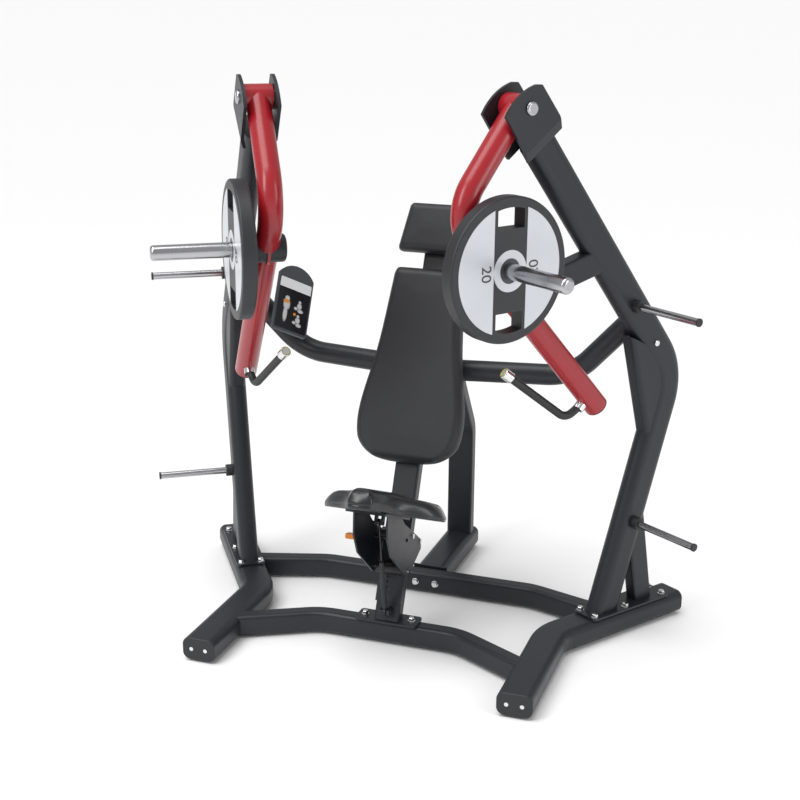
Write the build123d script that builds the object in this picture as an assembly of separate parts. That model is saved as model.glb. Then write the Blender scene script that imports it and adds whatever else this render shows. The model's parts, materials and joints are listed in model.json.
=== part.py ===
from build123d import *
from math import atan2, cos, degrees, radians, sin, tan
import os

os.makedirs("parts", exist_ok=True)

# Frame of reference: +Z up, floor at z = 0, X across the machine, the lifter faces -Y.
# Sizes are in millimetres. Y_MID moves the origin to the middle of the footprint.
Y_MID = 330.0

# Side planes: each side frame stands in a vertical plane turned outward to the back.
SIDE_TURN = 34.39
SIDE_X = 429.2

# Floor rails
RAIL_W = 120.0
RAIL_H = 80.0
RAIL_CORNER = 26.0
FOOT_T = 7.0
RAIL_Z = FOOT_T + RAIL_H / 2
RAIL_TOP = FOOT_T + RAIL_H
RAIL_FRONT_X = 555.0
RAIL_FRONT_Y = -300.0
RAIL_END_U = 812.0
RAIL_BEND_R = 170.0
REAR_RAIL_END = 993.0
WALL = 3.0
CAP_T = 8.0

# Crossbars
BAR_D = 60.0
BAR_H = 76.0
BAR_R = 200.0
FRONT_BAR_Y = 62.0
REAR_BAR_Y = 508.0

# Side frame, in the side plane: u runs outward to the back, z runs up
UP_W = 72.0
UP_D = 120.0
UP_FOOT = (463.0, 95.0)
UP_BEND = (731.0, 935.0)
UP_TOP = (75.0, 1771.0)
UP_R = 200.0
STRUT_FOOT = (650.0, 95.0)
STRUT_TOP = (585.0, 450.0)
FOOT_PLATE_T = 8.0

# Pivot and arm
PIVOT_Z = 1877.0
HUB_R = 41.0
HUB_HALF = 46.0
EAR_IN = 49.0
EAR_T = 11.0
PIN_R = 12.5
ARM_R = 40.0
ARM_WALL = 3.5
ARM_BEND = (-248.4, 1557.3)
ARM_BEND_R = 150.0
ARM_END = (385.0, 869.0)
HORN_UZ = (-111.0, 1408.0)
CARRIER_R = 46.0
CARRIER_IN = -61.0
CARRIER_OUT = 64.0
HORN_R = 25.0
HORN_END = 358.0
HORN_TIP = 372.0

# Weight plate
PLATE_R = 225.0
PLATE_T = 48.0
PLATE_IN = 65.0
PLATE_BORE = 25.3
FACE_R = 198.0
BAND_HALF = 64.0

# Spine: one straight tube from the front crossbar up behind both back cushions
LEAN = 23.4
SPINE_Y = 58.0
SPINE_Z = 82.0
SPINE_W = 90.0
SPINE_D = 50.0
SPINE_TOP = 1440.0
RACK_T = 5.0

# Rear post and cross tube
POST_Y = 933.0
POST_BEND_Z = 533.0
TUBE_R = 38.0
TUBE_Y = 474.0
TUBE_Z = 896.0

# Seat
SEAT_AT = 366.0
SEAT_T = 76.0
CHEEK_X = 56.0
CHEEK_T = 6.0
ROLLER_R = 20.0

S = sin(radians(SIDE_TURN))
C = cos(radians(SIDE_TURN))
SIDE = Plane(origin=(SIDE_X, 0, 0), x_dir=(S, C, 0), z_dir=(C, -S, 0))
SL = sin(radians(LEAN))
CL = cos(radians(LEAN))
SPINE = Plane(origin=(0, SPINE_Y, SPINE_Z), x_dir=(1, 0, 0), z_dir=(0, -CL, SL))

nodes = {}


def side(shape):
    """Put a shape drawn as (u, z, v) into the right-hand side plane."""
    return SIDE.location * shape


def lean(shape):
    """Put a shape drawn as (x, along, forward) on the spine."""
    return SPINE.location * shape


def put(name, *shapes):
    """Add the solids of some pieces to a node."""
    for shape in shapes:
        nodes.setdefault(name, []).extend(shape.solids())


def put_pair(name, shape):
    """Add a right-hand piece and its mirror image to one node."""
    put(name, shape, mirror(shape, about=Plane.YZ))


def put_sides(name, shape):
    """Add a right-hand piece and its mirror image as two nodes."""
    put(name + "_r", shape)
    put(name + "_l", mirror(shape, about=Plane.YZ))


def both(shape):
    """A right-hand piece together with its mirror image, as separate solids."""
    return list(shape.solids()) + list(mirror(shape, about=Plane.YZ).solids())


def group(solids):
    """Several separate solids kept as one node."""
    return Compound(children=[s for item in solids for s in item.solids()])


def bar(points, radius, profile, start_x):
    """Sweep a closed profile along a polyline with rounded corners."""
    path = FilletPolyline(*points, radius=radius) if radius else Polyline(*points)
    origin = Plane(origin=path @ 0, x_dir=start_x, z_dir=path % 0)
    return sweep(origin * profile, path=path)


def hollow_bar(points, radius, outer, inner, start_x):
    """A swept tube with open ends."""
    return bar(points, radius, outer, start_x) - bar(points, radius, inner, start_x)


def disc(radius, low, high, at=(0, 0)):
    """A round bar along the local third axis from low to high."""
    return Pos(at[0], at[1], (low + high) / 2) * Cylinder(radius, high - low)


def slab(x0, x1, y0, y1, z0, z1):
    """A plain block between two corners."""
    return Pos((x0 + x1) / 2, (y0 + y1) / 2, (z0 + z1) / 2) * Box(
        abs(x1 - x0), abs(y1 - y0), abs(z1 - z0))


def hex_bolt(across, height, washer_r):
    """A bolt head on its washer, standing on the local zero plane."""
    washer = disc(washer_r, 0, 2.5)
    head = extrude(RegularPolygon(across / 2, 6, major_radius=False), height)
    head = chamfer(head.faces().sort_by(Axis.Z)[-1].edges(), 1.2)
    return washer + Pos(0, 0, 2.5) * head


def rail_profile(shrink=0.0):
    return RectangleRounded(RAIL_W - 2 * shrink, RAIL_H - 2 * shrink, RAIL_CORNER - shrink)


def bar_profile(shrink=0.0):
    return RectangleRounded(BAR_D - 2 * shrink, BAR_H - 2 * shrink, 14 - shrink)


def oval(width, depth, shrink=0.0):
    return RectangleRounded(depth - 2 * shrink, width - 2 * shrink, width / 2 - shrink - 0.5)


# ---- floor rails ---------------------------------------------------------------
corner_y = (RAIL_FRONT_X - SIDE_X) / S * C
rail_path = [
    (RAIL_FRONT_X, RAIL_FRONT_Y, RAIL_Z),
    (RAIL_FRONT_X, corner_y, RAIL_Z),
    (SIDE_X + RAIL_END_U * S, RAIL_END_U * C, RAIL_Z),
]
rail_solid = bar(rail_path, RAIL_BEND_R, rail_profile(), (1, 0, 0))
rail_r = rail_solid - bar(rail_path, RAIL_BEND_R, rail_profile(WALL), (1, 0, 0))
put_pair("side_rails", rail_r)

front_cap = Plane(origin=rail_path[0], x_dir=(1, 0, 0), z_dir=(0, -1, 0))
rear_cap = Plane(origin=rail_path[2], x_dir=(C, -S, 0), z_dir=(S, C, 0))
tail_cap = Plane(origin=(0, REAR_RAIL_END - CAP_T, RAIL_Z), x_dir=(1, 0, 0), z_dir=(0, 1, 0))


def end_cap():
    """Moulded plug closing a rail end, with a rounded rim and a stub inside the tube."""
    rim = extrude(rail_profile(), CAP_T)
    rim = fillet(rim.faces().sort_by(Axis.Z)[-1].edges(), 4)
    stub = Pos(0, 0, -12) * extrude(rail_profile(WALL + 0.4), 12)
    return rim + stub


cap_screw = disc(7, CAP_T - 1, CAP_T + 1.2)
caps = both(front_cap.location * end_cap()) + both(rear_cap.location * end_cap())
caps += (tail_cap.location * end_cap()).solids()
screws = []
for offset in (-26, 26):
    screw = Pos(offset, 0, 0) * cap_screw
    screws += both(front_cap.location * screw) + both(rear_cap.location * screw)
    screws += (tail_cap.location * screw).solids()
all_screws = group(screws)
put("end_caps", group([c - all_screws for c in caps]))
put("frame_bolts", all_screws)

tail_path = [(0, REAR_BAR_Y + BAR_D / 2 + 8, RAIL_Z), (0, REAR_RAIL_END - CAP_T, RAIL_Z)]
put("rear_rail", hollow_bar(tail_path, 0, rail_profile(), rail_profile(WALL), (1, 0, 0)))
flange = slab(-66, 66, tail_path[0][1] - 8, tail_path[0][1], 9, RAIL_TOP + 4)
put("base_plates", flange - bar(tail_path, 0, rail_profile(), (1, 0, 0)))


def foot(length, width):
    """Flat rubber pad under a rail."""
    pad = extrude(RectangleRounded(length, width, 12), FOOT_T)
    return chamfer(pad.faces().sort_by(Axis.Z)[0].edges(), 1.5)


feet = both(Pos(RAIL_FRONT_X, -245, 0) * foot(70, 90))
feet += both(side(Pos(755, 0, 0) * Rot(-90, 0, 0) * foot(90, 70)))
feet += (Pos(0, 925, 0) * foot(70, 90)).solids()
put("rubber_feet", group(feet))

front_bar_path = [(-530, -86, 47), (-256, FRONT_BAR_Y, 47), (256, FRONT_BAR_Y, 47), (530, -86, 47)]
rear_bar_path = [(-680, 420, 47), (-407, REAR_BAR_Y, 47), (407, REAR_BAR_Y, 47), (680, 420, 47)]
for name, path in (("front_crossbar", front_bar_path), ("rear_crossbar", rear_bar_path)):
    run = Vector(path[1]) - Vector(path[0])
    across = (-run.Y, run.X, 0)
    tube = hollow_bar(path, BAR_R, bar_profile(), bar_profile(WALL), across)
    tube = tube - rail_solid - mirror(rail_solid, about=Plane.YZ)
    put(name, tube.solids().sort_by(SortBy.VOLUME)[-1])

# ---- side frames ---------------------------------------------------------------
up_path = [(UP_FOOT[0], UP_FOOT[1], 0), (UP_BEND[0], UP_BEND[1], 0), (UP_TOP[0], UP_TOP[1], 0)]
up_run = Vector(up_path[1]) - Vector(up_path[0])
up_x = (up_run.Y, -up_run.X, 0)
floor_cut = slab(300, 900, -100, RAIL_TOP + FOOT_PLATE_T, -100, 100)
up_long = [(UP_FOOT[0] - 15, UP_FOOT[1] - 47, 0)] + up_path[1:]
up_solid = bar(up_long, UP_R, oval(UP_W, UP_D), up_x) - floor_cut
up_hole = bar(up_long, UP_R, oval(UP_W, UP_D, WALL), up_x)
put_pair("uprights", side(up_solid - up_hole))

strut_path = [(STRUT_FOOT[0] + 10, STRUT_FOOT[1] - 55, 0), (STRUT_TOP[0], STRUT_TOP[1], 0)]
strut_run = Vector(strut_path[1]) - Vector(strut_path[0])
strut_x = (strut_run.Y, -strut_run.X, 0)
strut = hollow_bar(strut_path, 0, RectangleRounded(80, 50, 10), RectangleRounded(74, 44, 7), strut_x)
strut = (strut - floor_cut - up_solid).solids().sort_by(SortBy.VOLUME)[-1]
put_pair("rear_struts", side(strut))

foot_plate = Pos(567, 0, RAIL_TOP) * extrude(RectangleRounded(378, 108, 14), FOOT_PLATE_T)
foot_plate = Plane(origin=(0, 0, 0), x_dir=(1, 0, 0), z_dir=(0, 1, 0)).location * mirror(
    foot_plate, about=Plane.XZ
)
put_pair("base_plates", side(foot_plate))

gusset = extrude(Plane.XY * make_face(Polyline(
    (512, 1092), (614, 712), (720, 850), (690, 1000), (512, 1092))), 31, both=True)
gusset = (gusset - up_solid).solids().sort_by(SortBy.VOLUME)[-1]
gusset = fillet(gusset.edges().filter_by(
    lambda e: abs((e @ 0.5).X - 563) < 14 and abs((e @ 0.5).Y - 902) < 40), 18)
put_pair("upright_gussets", side(gusset))


# ---- pivot bracket -------------------------------------------------------------
def ear():
    """Pivot plate: flat by the pin, folded in below to meet the upright's side."""
    edge = Polyline((19, 1946), (41, 1945), (117, 1850), (134, 1811), (4, 1714), (-97, 1855))
    crown = ThreePointArc((-97, 1855), (-48, 1913), (19, 1946))
    outline = extrude(make_face([*edge.edges(), crown.edge()]), 80)
    fold = degrees(atan2(86, 118))
    low = EAR_IN
    strip = make_face(Polyline(
        (300, low), (300, low + EAR_T), (0, low + EAR_T), (-46, UP_W / 2 + EAR_T + 0.2),
        (-46, UP_W / 2 + 0.2), (0, low), (300, low)))
    plate = extrude(Plane(origin=(0, 0, 0), x_dir=(0, 1, 0), z_dir=(1, 0, 0)) * strip, 400, both=True)
    plate = Pos(0, 1752, 0) * Rot(0, 0, fold) * plate
    return (plate & outline).solids().sort_by(SortBy.VOLUME)[-1]


pivot = (0, PIVOT_Z)
ear_out = ear() - disc(PIN_R, 0, 100, pivot)
ear_in = mirror(ear_out, about=Plane.XY)
put_pair("pivot_ears", group([side(ear_out), side(ear_in)]))

top_cap = Pos(UP_TOP[0], UP_TOP[1], 0) * Rot(0, 0, degrees(atan2(UP_TOP[1] - UP_BEND[1], UP_TOP[0] - UP_BEND[0])))
top_plug = top_cap * Plane(origin=(0, 0, 0), x_dir=(0, 1, 0), z_dir=(1, 0, 0)).location * extrude(
    oval(UP_W, UP_D), 5)
put_pair("end_caps", side(top_plug))

pin_face = EAR_IN + EAR_T
pin = disc(PIN_R, -pin_face - 3, pin_face + 3, pivot)
for sign in (-1, 1):
    head = disc(22, pin_face, pin_face + 10, pivot)
    head = fillet(head.faces().sort_by(Axis.Z)[-1].edges(), 7)
    pin = pin + (head if sign > 0 else mirror(head, about=Plane.XY))
put_pair("pivot_pins", side(pin))

bearings = []
for low in (HUB_HALF + 0.2, -HUB_HALF - 2.7):
    bearings.append(side(disc(30, low, low + 2.5, pivot) - disc(PIN_R, -200, 200, pivot)))
put_pair("pivot_pins", group(bearings))

# ---- pressing arm --------------------------------------------------------------
arm_path = [(0, PIVOT_Z, 0), (ARM_BEND[0], ARM_BEND[1], 0), (ARM_END[0], ARM_END[1], 0)]
arm_x = (0, 0, 1)
arm_solid = bar(arm_path, ARM_BEND_R, Circle(ARM_R), arm_x)
arm_hole = bar(arm_path, ARM_BEND_R, Circle(ARM_R - ARM_WALL), arm_x)
hub_outer = disc(HUB_R, -HUB_HALF, HUB_HALF, pivot)
carrier_outer = disc(CARRIER_R, CARRIER_IN, CARRIER_OUT, HORN_UZ)
arm_pieces = (arm_solid - arm_hole - hub_outer - carrier_outer).solids().sort_by(Axis.Y)
arm_pieces = [p for p in arm_pieces if p.volume > 50000]
put_sides("arm_lower_tube", side(arm_pieces[0]))
put_sides("arm_upper_tube", side(arm_pieces[-1]))
put_sides("arm_upper_tube", side(hub_outer - disc(PIN_R + 0.08, -100, 100, pivot)))

carrier = fillet(carrier_outer.faces().sort_by(Axis.Z)[0].edges(), 12)
carrier = carrier + disc(54, CARRIER_OUT - 10, CARRIER_OUT, HORN_UZ)
put_sides("horn_carrier", side(carrier))

rib_disc = disc(53, -5, 5, HORN_UZ) - disc(CARRIER_R, -10, 10, HORN_UZ) - arm_solid
rib = rib_disc.solids().sort_by(Axis.X)[0]
put_sides("arm_lower_tube", side(rib))

horn = disc(HORN_R, CARRIER_OUT, HORN_END, HORN_UZ)
put_sides("horn", side(horn))
cap = fillet(disc(HORN_R, HORN_END, HORN_TIP, HORN_UZ).faces().sort_by(Axis.Z)[-1].edges(), 11)
put_sides("horn", side(cap))

arm_run = (Vector(arm_path[2]) - Vector(arm_path[1])).normalized()
arm_tip = Plane(origin=arm_path[2], x_dir=(0, 0, 1), z_dir=arm_run)
tip_cap = fillet(extrude(Circle(ARM_R), 6).faces().sort_by(Axis.Z)[-1].edges(), 4)
put_sides("arm_end_cap", side(arm_tip.location * tip_cap))

# Handle: leaves the arm square to it, turns and runs forward, up and inward
grip_root = Vector(345.5, 909.0, 0)
out_dir = Vector(-0.736, -0.677, 0)
grip_start = grip_root + out_dir * (ARM_R - 1)
grip_corner = Vector(259.0, 843.0, -12.0)
grip_tip = Vector(51.0, 1015.0, -86.0)
grip_run = (grip_tip - grip_corner).normalized()
handle_path = [tuple(grip_start), tuple(grip_corner), tuple(grip_tip - grip_run * 6)]
handle = bar(handle_path, 38, Circle(14), (0, 0, 1)) - arm_solid
put_sides("handle_bar", side(handle))
root_plane = Plane(origin=tuple(grip_root), z_dir=out_dir)
root_ring = root_plane.location * (disc(19, ARM_R - 4, ARM_R + 18) - disc(14, 0, 100)) - arm_solid - handle
tip_plane = Plane(origin=tuple(grip_tip), z_dir=grip_run)
tip_ring = disc(18.5, -30, 4)
tip_ring = fillet(tip_ring.faces().sort_by(Axis.Z)[-1].edges(), 3)
tip_ring = tip_plane.location * tip_ring - handle
put_sides("handle_collars", group([side(root_ring), side(tip_ring)]))

# ---- arm stop ------------------------------------------------------------------
lower_run = degrees(atan2(arm_run.Y, arm_run.X))
stop_at = Vector(-8.0, 1296.0, 0)
stop_frame = Pos(*stop_at) * Rot(0, 0, lower_run)
bumper = stop_frame * slab(-32, 32, ARM_R + 0.6, ARM_R + 18.6, -30, 30)
bumper = fillet(bumper.edges().filter_by(Axis.Z), 5)
keep = stop_frame * slab(-400, 400, ARM_R + 18.6, 700, -200, 200)
stub_path = [(-60, 1274, 0), (420, 1386, 0)]
stub = hollow_bar(stub_path, 0, RectangleRounded(60, 84, 10), RectangleRounded(54, 78, 7), (0, 0, 1))
stub = ((stub & keep) - up_solid).solids().sort_by(SortBy.VOLUME)[-1]
put_pair("arm_stops", side(stub))
put_pair("stop_bumpers", side(bumper))

# ---- weight plates -------------------------------------------------------------
face_z = PLATE_IN + PLATE_T


def window(sign):
    """Hand opening through the plate: a rounded slot under an arched top."""
    block = slab(-52, 52, 128 * sign, 260 * sign, 0, 200)
    return block & disc(192, 0, 200)


disc_body = disc(PLATE_R, PLATE_IN, face_z)
disc_body = fillet(disc_body.edges().filter_by(GeomType.CIRCLE), 7)
recess = disc(FACE_R + 1, face_z - 5, face_z + 1) - slab(-BAND_HALF + 0.3, BAND_HALF - 0.3, -300, 300, 0, 300)
ring = disc(64.3, face_z - 5, face_z + 1)
body = disc_body - recess - ring - disc(39, 0, 200) - window(1) - window(-1)
segments = disc(FACE_R, face_z - 5, face_z) - slab(-BAND_HALF, BAND_HALF, -300, 300, 0, 300)
joined = segments + disc(64, face_z - 5, face_z) - disc(39, 0, 200)
insert = disc(38.9, PLATE_IN, face_z - 1) - disc(PLATE_BORE, 0, 200)
at_horn = Pos(HORN_UZ[0], HORN_UZ[1], 0)
put_sides("plate_body", side(at_horn * body))
put_sides("plate_faces", side(at_horn * joined))
put_sides("plate_insert", side(at_horn * insert))

# ---- storage pegs --------------------------------------------------------------
pegs = []
collars = []
tips = []
for u, z in ((517, 1200), (570.5, 412.5)):
    pegs.append(side(disc(12.5, UP_W / 2, 309, (u, z))))
    collars.append(side(disc(22.5, UP_W / 2, UP_W / 2 + 24, (u, z)) - disc(12.5, 0, 400, (u, z))))
    tips.append(side(disc(14, 309, 315, (u, z))))
put_pair("storage_pegs", group(pegs))
put_pair("peg_collars", group(collars))
put_pair("peg_collars", group(tips))

# ---- spine, rack, rear post, cross tube ----------------------------------------
spine_len = (SPINE_TOP - SPINE_Z) / CL
base_cut = slab(-300, 300, -300, 900, -300, 93)
spine_solid = lean(slab(-45, 45, -60, spine_len, -SPINE_D / 2, SPINE_D / 2)) - base_cut
spine_solid = fillet(spine_solid.edges().filter_by(
    lambda e: abs((e.tangent_at(0.5)).Z) > 0.9), 8)
spine_hole = lean(slab(-42, 42, -80, spine_len + 5, -SPINE_D / 2 + WALL, SPINE_D / 2 - WALL))
put("spine", spine_solid - spine_hole)
put("end_caps", lean(slab(-45, 45, spine_len, spine_len + 4, -SPINE_D / 2, SPINE_D / 2)))
put("base_plates", Pos(0, FRONT_BAR_Y + 1, 85) * extrude(RectangleRounded(226, 82, 12), 8))

rack = slab(-47, 47, 66, 430, SPINE_D / 2, SPINE_D / 2 + RACK_T)
for i in range(16):
    at = 92 + 19 * i
    rack = rack - slab(-15, 15, at, at + 12, 0, 60)
put("seat_rack", lean(rack))

post_end = (POST_Y - 480, POST_BEND_Z + 680)
post_path = [(0, POST_Y, RAIL_TOP), (0, POST_Y, POST_BEND_Z), (0, post_end[0], post_end[1])]
post = hollow_bar(post_path, 110, RectangleRounded(100, 50, 9), RectangleRounded(94, 44, 6), (1, 0, 0))
ahead = lean(slab(-300, 300, -200, 2000, -SPINE_D / 2, 600))
post = (post - ahead).solids().sort_by(SortBy.VOLUME)[-1]
post = post - lean(Pos(0, 0, SPINE_D / 2) * slab(-300, 300, 300, 1700, 0, 200))
put("rear_post", post.solids().sort_by(SortBy.VOLUME)[-1])

half = [(100, TUBE_Y, TUBE_Z), (515, 548, TUBE_Z), (722, 497, 1128)]
tube_path = [(-x, y, z) for x, y, z in reversed(half)] + half
tube_path = [(x + (18 if x > 600 else -18 if x < -600 else 0), y, z + (20 if abs(x) > 600 else 0))
             for x, y, z in tube_path]
up_right = side(up_solid)
tube_outer = bar(tube_path, 190, Circle(TUBE_R), (0, 0, 1))
tube = tube_outer - bar(tube_path, 190, Circle(TUBE_R - WALL), (0, 0, 1))
tube = tube - up_right - mirror(up_right, about=Plane.YZ) - spine_solid
put("cross_tube", tube.solids().sort_by(SortBy.VOLUME)[-1])

# ---- cushions ------------------------------------------------------------------
PAD_FOOT = (590.0 - SPINE_Z) / CL
PAD_N = SPINE_D / 2 + 12
PAD_T = 66.0


def back_outline(shrink=0.0):
    """Half-symmetric outline of the back cushion, wide low down and narrow at the top."""
    half = [(184, 70), (194, 130), (186, 230), (160, 370), (143, 520), (130, 676)]
    right = Spline(*[(x - shrink, y) for x, y in half])
    left = mirror(right, about=Plane.YZ)
    top_y = 694 - shrink
    top = Polyline((130 - shrink, 676), (116 - shrink, top_y), (-116 + shrink, top_y), (-130 + shrink, 676))
    bottom = Spline((184 - shrink, 70), (130, 18 + shrink), (0, shrink), (-130, 18 + shrink), (-184 + shrink, 70))
    return make_face([right.edge(), left.edge(), *top.edges(), bottom.edge()])


pad = Pos(0, PAD_FOOT, PAD_N) * extrude(back_outline(), PAD_T)
put("back_pad", lean(pad))
put("pad_boards", lean(Pos(0, PAD_FOOT, SPINE_D / 2) * extrude(back_outline(12), 12)))

HEAD_FOOT = PAD_FOOT + 752
head_face = make_face(Polyline((-130, 8), (-122, 0), (122, 0), (130, 8), (106, 168), (94, 178),
                               (-94, 178), (-106, 168), (-130, 8)))
put("head_pad", lean(Pos(0, HEAD_FOOT, PAD_N) * extrude(head_face, 60)))
put("pad_boards", lean(slab(-75, 75, HEAD_FOOT + 20, HEAD_FOOT + 150, SPINE_D / 2, PAD_N)))

# ---- seat ----------------------------------------------------------------------
seat_half = [(42, 474), (58, 428), (84, 360), (160, 292), (206, 242), (214, 185), (190, 136), (140, 114)]
seat_right = Spline(*seat_half)
seat_back = Line(seat_half[-1], (-seat_half[-1][0], seat_half[-1][1]))
seat_nose = ThreePointArc((-42, 474), (0, 482), (42, 474))
seat_face = make_face([seat_right.edge(), mirror(seat_right, about=Plane.YZ).edge(), seat_back.edge(),
                       seat_nose.edge()])
# Seat frame: square to the spine, drawn as (x, forward) and built up along the spine
SEAT = Plane(origin=(0, SPINE_Y, SPINE_Z), x_dir=(-1, 0, 0), z_dir=(0, SL, CL))
put("seat_pad", SEAT.location * Pos(0, 0, SEAT_AT) * extrude(seat_face, SEAT_T))
put("seat_base", SEAT.location * slab(-70, 70, 130, 400, SEAT_AT - 8, SEAT_AT))

# Side plates drawn as (forward, along) on the spine
CHEEKS = Plane(origin=(0, SPINE_Y, SPINE_Z), x_dir=(0, -CL, SL), z_dir=(-1, 0, 0))
cheek_outline = make_face(Polyline(
    (345, SEAT_AT - 8), (318, 282), (256, 226), (73, 166), (13, 182), (-74, 265), (-59, 298),
    (154, 342), (188, SEAT_AT - 8), (345, SEAT_AT - 8)))
across = Plane(origin=(0, 0, 0), x_dir=(0, 1, 0), z_dir=(1, 0, 0))


def cheek(x):
    """One of the two side plates under the seat, between x and x plus its thickness."""
    return Pos(x, 0, 0) * CHEEKS.location * extrude(cheek_outline, -CHEEK_T)


def on_spine(along, forward):
    """(y, z) of a point given along the spine and forward of its axis."""
    return (SPINE_Y + SL * along - CL * forward, SPINE_Z + CL * along + SL * forward)


front_n = SPINE_D / 2 + RACK_T + 0.4 + ROLLER_R
rear_n = -SPINE_D / 2 - 0.4 - ROLLER_R
roller_at = [on_spine(185, front_n), on_spine(305, front_n), on_spine(290, rear_n)]
latch_at = on_spine(288, 103)


def cross_rod(at, radius, x0, x1):
    """A round bar across the machine at (y, z)."""
    return across.location * Pos(at[0], at[1], (x0 + x1) / 2) * Cylinder(radius, x1 - x0)


holes = [cross_rod(at, 5, -80, 80) for at in roller_at] + [cross_rod(latch_at, 6.2, -80, 80)]
cheeks = [cheek(CHEEK_X), cheek(-CHEEK_X - CHEEK_T)]
for hole in holes:
    cheeks = [c - hole for c in cheeks]
put("seat_cheeks", cheeks[0])
put("seat_cheeks", cheeks[1])

for i, at in enumerate(roller_at):
    put(f"seat_roller_{i + 1}", cross_rod(at, ROLLER_R, -48, 48) - cross_rod(at, 5.06, -60, 60))
axles = []
for at in roller_at:
    axle = cross_rod(at, 5, -62, 62)
    for x0, x1 in ((62, 68), (-68, -62)):
        axle = axle + cross_rod(at, 9, x0, x1)
    axles.append(axle)
put("seat_axles", group(axles))

# Latch: lever with its grip, shaft and pawl, turning together
latch = cross_rod(latch_at, 6, -76, 66)
pawl_tip = on_spine(250, SPINE_D / 2 + RACK_T + 2.6)
pawl_run = degrees(atan2(pawl_tip[1] - latch_at[1], pawl_tip[0] - latch_at[0]))
pawl_len = ((pawl_tip[0] - latch_at[0]) ** 2 + (pawl_tip[1] - latch_at[1]) ** 2) ** 0.5
pawl = Pos(0, latch_at[0], latch_at[1]) * Rot(pawl_run, 0, 0) * slab(-11, 11, 0, pawl_len, -3, 3)
boss = cross_rod(latch_at, 12, -14, 14)
arm_plate = Pos(-73, latch_at[0], latch_at[1]) * Rot(-14, 0, 0) * slab(-3, 3, -68, 12, -9, 9)
put("seat_latch", latch + pawl + boss + arm_plate)
lever_end = Pos(-76, latch_at[0], latch_at[1]) * Rot(-14, 0, 0) * slab(-62, 0, -82, -50, -10, 10)
lever_end = fillet(lever_end.edges(), 6)
put("seat_lever_grip", lever_end)

# Gas strut between the spine's foot and the seat
strut_low = (25.0, 132.0)
strut_high = on_spine(335, 245)
strut_tilt = degrees(atan2(strut_low[0] - strut_high[0], strut_high[1] - strut_low[1]))
strut_len = ((strut_low[0] - strut_high[0]) ** 2 + (strut_high[1] - strut_low[1]) ** 2) ** 0.5
gas = Pos(0, strut_low[0], strut_low[1]) * Rot(strut_tilt, 0, 0)
cylinder = disc(9, 18, 205) + Rot(0, 90, 0) * Cylinder(12, 10) + disc(4, 6, 30)
cylinder = cylinder - disc(4.3, 40, 230) - Rot(0, 90, 0) * Cylinder(5.06, 40)
put("strut_cylinder", gas * cylinder)
eye = Pos(0, 0, strut_len) * (Rot(0, 90, 0) * Cylinder(14, 8) - Rot(0, 90, 0) * Cylinder(9, 40))
rod = disc(4, 95, strut_len - 11) + eye
put("strut_rod", gas * rod)
lug = slab(-5, 5, strut_low[0] - 8, 60, strut_low[1] - 9, strut_low[1] + 9)
low_pin = cross_rod(strut_low, 5, -22, 22)
lug_r = Pos(13, 0, 0) * lug - spine_solid - low_pin
lug_l = Pos(-13, 0, 0) * lug - spine_solid - low_pin
keep_front = slab(-40, 40, -100, 62, 0, 300)
put("strut_lugs", group([(lug_r & keep_front), (lug_l & keep_front)]))
put("strut_lugs", low_pin)
high_pin = cross_rod(strut_high, 4, -18, 18)
put("strut_hanger", high_pin)
hang_r = lean(slab(8, 16, 327, SEAT_AT - 8, 235, 255)) - high_pin
put("strut_hanger", group([hang_r, mirror(hang_r, about=Plane.YZ)]))

# ---- placard -------------------------------------------------------------------
placard = Plane(origin=(-508, 445, 1106), x_dir=(0.611, 0.665, -0.430), z_dir=(0.786, -0.441, 0.434))
outline = make_face([*Polyline((-73, 96), (-73, -128), (73, -128), (73, 96)).edges(),
                     ThreePointArc((73, 96), (0, 136), (-73, 96)).edge()])
shell = fillet(extrude(outline, -14).edges().filter_by(Axis.Z), 8)
sign_solid = placard.location * shell
put("sign_shell", sign_solid)
stem_end = Vector(-566, 540, 958)
stem_top = Vector(placard.origin) - placard.z_dir * 14 - placard.y_dir * 50
stem_run = (stem_end - stem_top)
stem = extrude(Plane(origin=stem_top, z_dir=stem_run.normalized()) * Circle(14), stem_run.length)
stem = stem - sign_solid
put("sign_bracket", stem - tube_outer)
put("sign_face", placard.location * (Pos(0, -20, 0) * extrude(RectangleRounded(132, 196, 5), 1.2)))

# ---- fasteners -----------------------------------------------------------------
heads = []
for u, v in ((396, 37), (396, -37), (546, 36), (546, -36), (732, 34), (732, -34)):
    place = SIDE.location * Pos(u, RAIL_TOP + FOOT_PLATE_T, v) * Rot(-90, 0, 0)
    heads += both(place * hex_bolt(19, 11, 13))
put("frame_bolts", group(heads))
spine_bolts = []
for x in (-86, 86):
    spine_bolts += (Pos(x, FRONT_BAR_Y, 93) * hex_bolt(19, 11, 13)).solids()
put("frame_bolts", group(spine_bolts))
rear_bolts = []
for x in (-38.7, 38.7):
    rear_bolts += (Pos(x, REAR_BAR_Y - BAR_D / 2, 48) * Rot(90, 0, 0) * hex_bolt(19, 11, 13)).solids()
put("frame_bolts", group(rear_bolts))
seam = fillet(disc(11, UP_W / 2, UP_W / 2 + 7, (624, 1057)).faces().sort_by(Axis.Z)[-1].edges(), 4)
put_pair("frame_bolts", side(seam))

for name, solids in nodes.items():
    shape = solids[0] if len(solids) == 1 else Compound(children=solids)
    export_step(Pos(0, -Y_MID, 0) * shape, f"parts/{name}.step")
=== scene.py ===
import json
import math

import bpy
import numpy as np
from mathutils import Matrix, Vector


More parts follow.
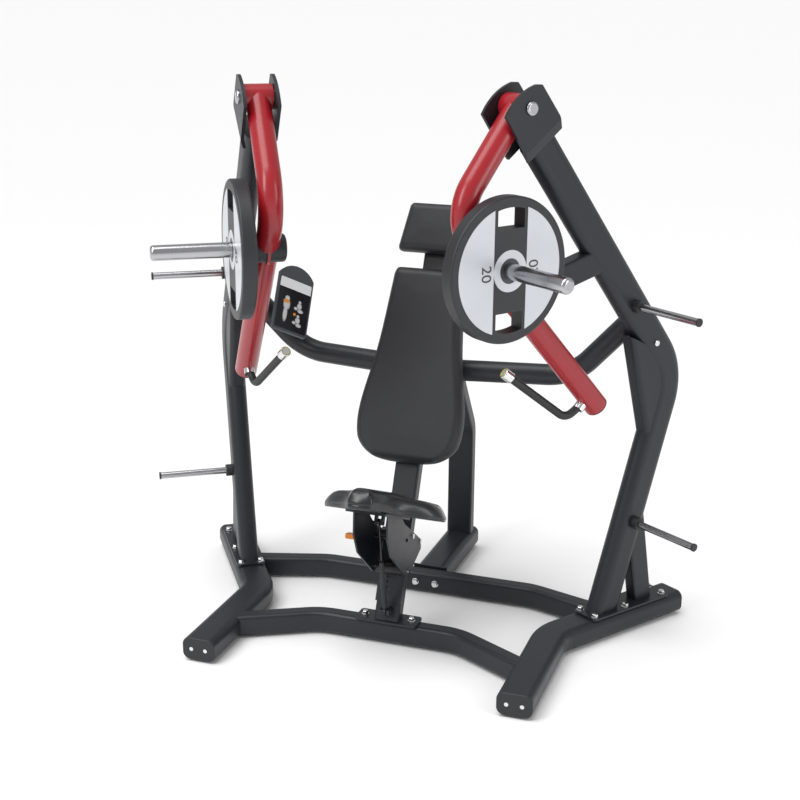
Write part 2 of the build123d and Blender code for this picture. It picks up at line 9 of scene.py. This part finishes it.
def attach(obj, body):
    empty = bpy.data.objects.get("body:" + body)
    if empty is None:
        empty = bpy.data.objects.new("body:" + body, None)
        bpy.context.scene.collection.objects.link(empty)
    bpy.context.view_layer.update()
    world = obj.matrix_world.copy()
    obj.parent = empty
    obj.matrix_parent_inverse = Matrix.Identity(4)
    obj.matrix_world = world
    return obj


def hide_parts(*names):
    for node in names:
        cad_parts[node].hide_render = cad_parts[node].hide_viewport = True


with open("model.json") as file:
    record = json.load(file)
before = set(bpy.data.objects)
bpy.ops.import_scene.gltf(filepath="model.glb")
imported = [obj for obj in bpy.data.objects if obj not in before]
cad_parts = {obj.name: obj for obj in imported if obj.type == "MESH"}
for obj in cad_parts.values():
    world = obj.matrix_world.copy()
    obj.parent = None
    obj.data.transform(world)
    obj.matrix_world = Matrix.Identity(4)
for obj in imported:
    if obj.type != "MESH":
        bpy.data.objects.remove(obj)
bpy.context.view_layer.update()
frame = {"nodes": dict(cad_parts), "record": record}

Y_MID = 0.330
LEAN = math.radians(23.4)
TURN = math.radians(34.39)
ARM_X = 0.4292
HORN_Z = 1.408
GRAIN_RELIEF = 0.001
CELL_RELIEF = 0.0012


def evaluated_mesh(obj):
    """The object's mesh with its modifiers applied."""
    graph = bpy.context.evaluated_depsgraph_get()
    return bpy.data.meshes.new_from_object(obj.evaluated_get(graph))


def arm_axes(sign):
    """Horizontal axes of one side's arm plane: along the plane, and square to it."""
    along_arm = Vector((sign * math.sin(TURN), math.cos(TURN), 0))
    across_arm = Vector((sign * math.cos(TURN), -math.sin(TURN), 0))
    return along_arm, across_arm


# ---- materials -----------------------------------------------------------------
def surface(name, color, rough, metal=0.0, grain=(400.0, 0.1), spread=0.08, wear=0.06,
            coat=0.0, spec=0.5, cells=False):
    """Node material: colour and roughness drift slowly, and fine grain or leather cells give the bump."""
    mat = bpy.data.materials.new(name)
    mat.use_nodes = True
    nodes, links = mat.node_tree.nodes, mat.node_tree.links
    bsdf = nodes["Principled BSDF"]
    bsdf.inputs["Metallic"].default_value = metal
    bsdf.inputs["Coat Weight"].default_value = coat
    bsdf.inputs["Coat Roughness"].default_value = 0.12
    bsdf.inputs["Specular IOR Level"].default_value = spec
    place = nodes.new("ShaderNodeTexCoord")
    drift = nodes.new("ShaderNodeTexNoise")
    drift.inputs["Scale"].default_value = 7.0
    drift.inputs["Detail"].default_value = 5.0
    links.new(place.outputs["Object"], drift.inputs["Vector"])
    tint = nodes.new("ShaderNodeMix")
    tint.data_type = "RGBA"
    tint.inputs["A"].default_value = (*[c * (1 - wear) for c in color], 1)
    tint.inputs["B"].default_value = (*[min(1, c * (1 + wear) + wear * 0.01) for c in color], 1)
    links.new(drift.outputs["Fac"], tint.inputs["Factor"])
    links.new(tint.outputs["Result"], bsdf.inputs["Base Color"])
    gloss = nodes.new("ShaderNodeMapRange")
    gloss.inputs["To Min"].default_value = max(0.02, rough - spread)
    gloss.inputs["To Max"].default_value = min(1.0, rough + spread)
    links.new(drift.outputs["Fac"], gloss.inputs["Value"])
    links.new(gloss.outputs["Result"], bsdf.inputs["Roughness"])
    fine = nodes.new("ShaderNodeTexVoronoi" if cells else "ShaderNodeTexNoise")
    fine.inputs["Scale"].default_value = grain[0]
    if not cells:
        fine.inputs["Detail"].default_value = 3.0
    links.new(place.outputs["Object"], fine.inputs["Vector"])
    bump = nodes.new("ShaderNodeBump")
    bump.inputs["Strength"].default_value = grain[1]
    bump.inputs["Distance"].default_value = CELL_RELIEF if cells else GRAIN_RELIEF
    links.new(fine.outputs["Distance" if cells else "Fac"], bump.inputs["Height"])
    links.new(bump.outputs["Normal"], bsdf.inputs["Normal"])
    return mat


looks = {
    "frame_black": surface("powder coat", (0.0125, 0.0140, 0.0190), 0.40, grain=(1400.0, 0.10), spec=0.45),
    "arm_red": surface("red paint", (0.34, 0.007, 0.014), 0.30, grain=(700.0, 0.03), coat=0.25),
    "chrome_bar": surface("satin chrome", (0.46, 0.46, 0.48), 0.20, 1.0, (300.0, 0.03), 0.06),
    "chrome_bright": surface("bright plating", (0.75, 0.75, 0.76), 0.12, 1.0, (300.0, 0.02), 0.04),
    "grip_black": surface("grip sleeve", (0.016, 0.017, 0.019), 0.45, grain=(900.0, 0.15)),
    "plate_rubber": surface("plate rubber", (0.020, 0.021, 0.024), 0.45, grain=(800.0, 0.12)),
    "plate_silver": surface("plate silver", (0.62, 0.64, 0.68), 0.32, 0.35, (500.0, 0.05), 0.08),
    "insert_steel": surface("insert steel", (0.08, 0.08, 0.09), 0.35, 0.8, (500.0, 0.06)),
    "cap_plastic": surface("moulded caps", (0.016, 0.017, 0.019), 0.5, grain=(600.0, 0.12)),
    "rubber_black": surface("rubber", (0.012, 0.012, 0.013), 0.75, grain=(500.0, 0.2)),
    "pad_vinyl": surface("pad vinyl", (0.013, 0.014, 0.017), 0.47, grain=(620.0, 0.35), spread=0.07,
                         cells=True),
    "seat_skin": surface("seat skin", (0.010, 0.011, 0.013), 0.28, grain=(900.0, 0.10), spread=0.07,
                         coat=0.3, cells=True),
    "lever_orange": surface("lever orange", (0.70, 0.22, 0.02), 0.35, grain=(400.0, 0.05)),
    "sign_grey": surface("sign shell", (0.055, 0.060, 0.072), 0.45, grain=(900.0, 0.1)),
    "roller_nylon": surface("nylon", (0.02, 0.02, 0.022), 0.4, grain=(500.0, 0.08)),
    "rod_steel": surface("blackened rod", (0.05, 0.05, 0.055), 0.25, 0.8, (500.0, 0.05)),
}


def sign_print():
    """Printed panel: pale heading band over a dark screen with soft generic figures."""
    mat = surface("sign print", (0.008, 0.007, 0.009), 0.25, grain=(500.0, 0.02))
    nodes, links = mat.node_tree.nodes, mat.node_tree.links
    anchor = bpy.data.objects.new("sign_axes", None)
    bpy.context.collection.objects.link(anchor)
    x_dir = Vector((0.611, 0.665, -0.430)).normalized()
    z_dir = Vector((0.786, -0.441, 0.434))
    z_dir = (z_dir - x_dir * z_dir.dot(x_dir)).normalized()
    turn = Matrix((x_dir, z_dir.cross(x_dir), z_dir)).transposed().to_4x4()
    anchor.matrix_world = Matrix.Translation((-0.508, 0.445 - Y_MID, 1.106)) @ turn
    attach(anchor, "frame")
    place = nodes.new("ShaderNodeTexCoord")
    place.object = anchor
    split = nodes.new("ShaderNodeSeparateXYZ")
    links.new(place.outputs["Object"], split.inputs["Vector"])

    def calc(op, a, b):
        node = nodes.new("ShaderNodeMath")
        node.operation = op
        for i, value in enumerate((a, b)):
            if isinstance(value, (int, float)):
                node.inputs[i].default_value = value
            else:
                links.new(value, node.inputs[i])
        return node.outputs[0]

    def blob(x, y, rx, ry):
        dx = calc("DIVIDE", calc("SUBTRACT", split.outputs["X"], x), rx)
        dy = calc("DIVIDE", calc("SUBTRACT", split.outputs["Y"], y), ry)
        d = calc("ADD", calc("MULTIPLY", dx, dx), calc("MULTIPLY", dy, dy))
        edge = nodes.new("ShaderNodeMapRange")
        edge.inputs["From Min"].default_value = 1.3
        edge.inputs["From Max"].default_value = 0.5
        links.new(d, edge.inputs["Value"])
        return edge.outputs["Result"]

    def total(items):
        out = items[0]
        for item in items[1:]:
            out = calc("MAXIMUM", out, item)
        return out

    band = calc("GREATER_THAN", split.outputs["Y"], 0.040)
    figure = [blob(-.028, .0, .010, .010), blob(-.028, -.024, .014, .022), blob(-.030, -.062, .009, .030)]
    for y in (-.012, -.068):
        figure += [blob(.026, y + .012, .006, .006), blob(.026, y - .004, .010, .012),
                   blob(.012, y - .016, .008, .006), blob(.032, y - .022, .012, .007)]
    accent = total([blob(-.030, -.012, .014, .008), blob(.010, -.052, .006, .006)])
    white = total([band, calc("MULTIPLY", total(figure), 0.75)])
    bsdf = nodes["Principled BSDF"]
    base = bsdf.inputs["Base Color"].links[0].from_socket
    for mask, color in ((white, (0.80, 0.81, 0.82, 1)), (accent, (0.75, 0.28, 0.04, 1))):
        mix = nodes.new("ShaderNodeMix")
        mix.data_type = "RGBA"
        links.new(mask, mix.inputs["Factor"])
        links.new(base, mix.inputs["A"])
        mix.inputs["B"].default_value = color
        base = mix.outputs["Result"]
    links.new(base, bsdf.inputs["Base Color"])
    return mat


looks["sign_print"] = sign_print()
slots = {s["node"]: s["material_slot"] for s in frame["record"]["subparts"]}
for name, obj in frame["nodes"].items():
    if not obj.material_slots:
        obj.data.materials.append(looks[slots[name]])
    for slot in obj.material_slots:
        slot.material = looks[slots[name]]


# ---- cushions ------------------------------------------------------------------
def along(name):
    """Axes of the spine: along it, forward of it, and its start."""
    start = Vector((0, 0.058 - Y_MID, 0.082))
    up = Vector((0, math.sin(LEAN), math.cos(LEAN)))
    out = Vector((0, -math.cos(LEAN), math.sin(LEAN)))
    return (start, up, out) if name != "seat_pad" else (start, out, up)


def cushion(node, label, low, high, crown, tuck, groove, voxel, extra=None):
    """Foam form from the cushion's own solid: crowned front, rounded rim, sides that pull in."""
    mesh = frame["nodes"][node].data.copy()
    obj = bpy.data.objects.new(label, mesh)
    bpy.context.collection.objects.link(obj)
    step = obj.modifiers.new("remesh", "REMESH")
    step.mode = "VOXEL"
    step.voxel_size = voxel
    solid = evaluated_mesh(obj)
    obj.modifiers.clear()
    obj.data = solid
    start, up, out = along(node)
    co = np.empty(len(solid.vertices) * 3)
    solid.vertices.foreach_get("co", co)
    co = co.reshape(-1, 3) - np.array(start)
    x, s, n = co[:, 0], co @ np.array(up), co @ np.array(out)
    bins = np.linspace(s.min(), s.max() + 1e-6, 90)
    where = np.clip(np.digitize(s, bins) - 1, 0, 88)
    half = np.array([np.abs(x[where == i]).max() if (where == i).any() else 0 for i in range(89)])
    half = np.convolve(np.pad(half, 2, mode="edge"), np.ones(5) / 5, mode="valid")
    width = np.interp(s, (bins[:-1] + bins[1:]) / 2, half)
    middle, reach = (s.min() + s.max()) / 2, (s.max() - s.min()) / 2
    side_gap = np.maximum(width - np.abs(x), 0)
    end_gap = np.maximum(reach - np.abs(s - middle), 0)
    gap = np.minimum(side_gap, end_gap)
    t = np.clip((n - low) / (high - low), 0, 1)
    rim = np.clip(1 - gap / crown[1], 0, 1)
    fall = crown[0] * rim ** 2.2 + 0.004 * np.clip(1 - gap / (3 * crown[1]), 0, 1)
    n = n - fall * t
    pull = tuck * (1 - np.sin(np.pi * np.clip(t * 0.9 + 0.1, 0, 1))) * np.clip(1 - gap / 0.03, 0, 1)
    crease = groove * np.exp(-((t - 0.30) / 0.05) ** 2) * np.clip(1 - gap / 0.02, 0, 1)
    x = x * (1 - (pull + crease) / np.maximum(width, 0.05))
    s = middle + (s - middle) * (1 - (pull + crease) / reach)
    if extra:
        n = extra(x, s, n, t)
    co = np.array(start) + np.outer(x, (1, 0, 0)) + np.outer(s, up) + np.outer(n, out)
    solid.vertices.foreach_set("co", co.ravel())
    soft = obj.modifiers.new("soften", "SMOOTH")
    soft.iterations = 6
    soft.factor = 0.5
    final = evaluated_mesh(obj)
    obj.modifiers.clear()
    obj.data = final
    for poly in final.polygons:
        poly.use_smooth = True
    final.materials.clear()
    final.materials.append(looks[slots[node]])
    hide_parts(node)
    return obj


def seat_form(x, s, n, t):
    """Seat top: raised along the middle and nose, wings falling away, dished where the thighs lie."""
    wing = np.clip((np.abs(x) - 0.05) / 0.16, 0, 1)
    drop = 0.026 * wing ** 1.6 * t
    dish = 0.006 * np.exp(-((np.abs(x) - 0.10) / 0.04) ** 2) * t
    return n - drop - dish


back = cushion("back_pad", "back_cushion", low=0.037, high=0.103, crown=(0.016, 0.030),
               tuck=0.005, groove=0.004, voxel=0.0045)
head = cushion("head_pad", "head_cushion", low=0.037, high=0.097, crown=(0.014, 0.026),
               tuck=0.004, groove=0.003, voxel=0.004)
seat = cushion("seat_pad", "seat_cushion", low=0.366, high=0.442, crown=(0.022, 0.042),
               tuck=0.006, groove=0.002, voxel=0.004, extra=seat_form)
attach(back, "frame")
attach(head, "frame")
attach(seat, "seat")


# ---- plate numbers -------------------------------------------------------------
ink = surface("plate number", (0.05, 0.05, 0.055), 0.4, grain=(500.0, 0.05))
for sign, letter in ((1, "r"), (-1, "l")):
    u_dir, v_dir = arm_axes(sign)
    hub = Vector((sign * ARM_X, -Y_MID, HORN_Z)) - u_dir * 0.111 + v_dir * 0.1132
    for turn in (0, 1):
        curve = bpy.data.curves.new(f"number_{letter}{turn}", "FONT")
        curve.body = "20"
        curve.size = 0.052
        curve.extrude = 0.0006
        curve.align_x = "CENTER"
        curve.align_y = "CENTER"
        text = bpy.data.objects.new(curve.name, curve)
        bpy.context.collection.objects.link(text)
        reading = -1 if turn else 1
        local_x = Vector((0, 0, -1)) * reading
        local_y = u_dir * reading * sign
        spin = Matrix((local_x, v_dir.cross(local_x), v_dir)).transposed().to_4x4()
        text.matrix_world = Matrix.Translation(hub + u_dir * (0.094 * (1 if turn else -1))) @ spin
        mesh = evaluated_mesh(text)
        mesh.transform(text.matrix_world)
        digits = bpy.data.objects.new(f"plate_number_{letter}{turn}", mesh)
        bpy.context.collection.objects.link(digits)
        bpy.data.objects.remove(text)
        mesh.materials.clear()
        mesh.materials.append(ink)
        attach(digits, f"plate_{letter}")

# ---- handle trim ---------------------------------------------------------------
trim = surface("collar ring", (0.55, 0.47, 0.06), 0.25, 0.6, (300.0, 0.02), 0.05)
for sign, letter in ((1, "r"), (-1, "l")):
    u_dir, v_dir = arm_axes(sign)
    base = Vector((sign * ARM_X, -Y_MID, 0))
    tip = base + u_dir * 0.051 - v_dir * 0.086 + Vector((0, 0, 1.015))
    corner = base + u_dir * 0.259 - v_dir * 0.012 + Vector((0, 0, 0.843))
    run = (tip - corner).normalized()
    bpy.ops.mesh.primitive_torus_add(
        major_radius=0.0142, minor_radius=0.0015, major_segments=48, minor_segments=10,
        location=tip + run * 0.0040, rotation=run.to_track_quat("Z", "Y").to_euler())
    ring = bpy.context.object
    ring.name = f"collar_ring_{letter}"
    ring.data.materials.append(trim)
    for poly in ring.data.polygons:
        poly.use_smooth = True
    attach(ring, f"arm_{letter}")

# ---- stage, light, camera ------------------------------------------------------
floor_mesh = bpy.data.meshes.new("floor")
floor_mesh.from_pydata([(-900, -900, 0), (900, -900, 0), (900, 900, 0), (-900, 900, 0)], [], [(0, 1, 2, 3)])
floor = bpy.data.objects.new("floor", floor_mesh)
bpy.context.collection.objects.link(floor)
floor_mesh.materials.append(surface("floor", (0.93, 0.93, 0.93), 0.55, grain=(20.0, 0.0), wear=0.0, spec=0.3))

world = bpy.data.worlds.new("studio")
world.use_nodes = True
world.node_tree.nodes["Background"].inputs["Color"].default_value = (1, 1, 1, 1)
world.node_tree.nodes["Background"].inputs["Strength"].default_value = 0.50
bpy.context.scene.world = world


def softbox(name, place, target, size, power):
    light = bpy.data.lights.new(name, "AREA")
    light.shape = "RECTANGLE"
    light.size, light.size_y = size
    light.energy = power
    obj = bpy.data.objects.new(name, light)
    bpy.context.collection.objects.link(obj)
    obj.location = place
    obj.rotation_euler = (Vector(target) - Vector(place)).to_track_quat("-Z", "Y").to_euler()


sky = bpy.data.lights.new("sky", "SUN")
sky.energy = 2.05
sky.angle = math.radians(50)
sky_obj = bpy.data.objects.new("sky", sky)
bpy.context.collection.objects.link(sky_obj)
sky_obj.rotation_euler = (math.radians(12), math.radians(-14), 0)
softbox("key", (-2.2, -3.8, 3.6), (0, 0, 1.0), (1.4, 2.4), 60)
softbox("fill", (4.2, -1.2, 2.4), (0, 0, 1.0), (1.2, 3.0), 35)

camera_data = bpy.data.cameras.new("camera")
camera_data.lens = 63.375
camera_data.sensor_width = 36.0
camera = bpy.data.objects.new("camera", camera_data)
bpy.context.collection.objects.link(camera)
aim = Matrix.Rotation(math.radians(19.12), 4, "Z") @ Matrix.Rotation(math.radians(72.81), 4, "X")
aim = aim @ Matrix.Rotation(math.radians(0.39), 4, "Z")
camera.matrix_world = Matrix.Translation((1.5074, -4.17665 - Y_MID, 2.28351)) @ aim
bpy.context.scene.camera = camera
bpy.context.scene.view_settings.view_transform = "Standard"
bpy.context.scene.view_settings.look = "None"
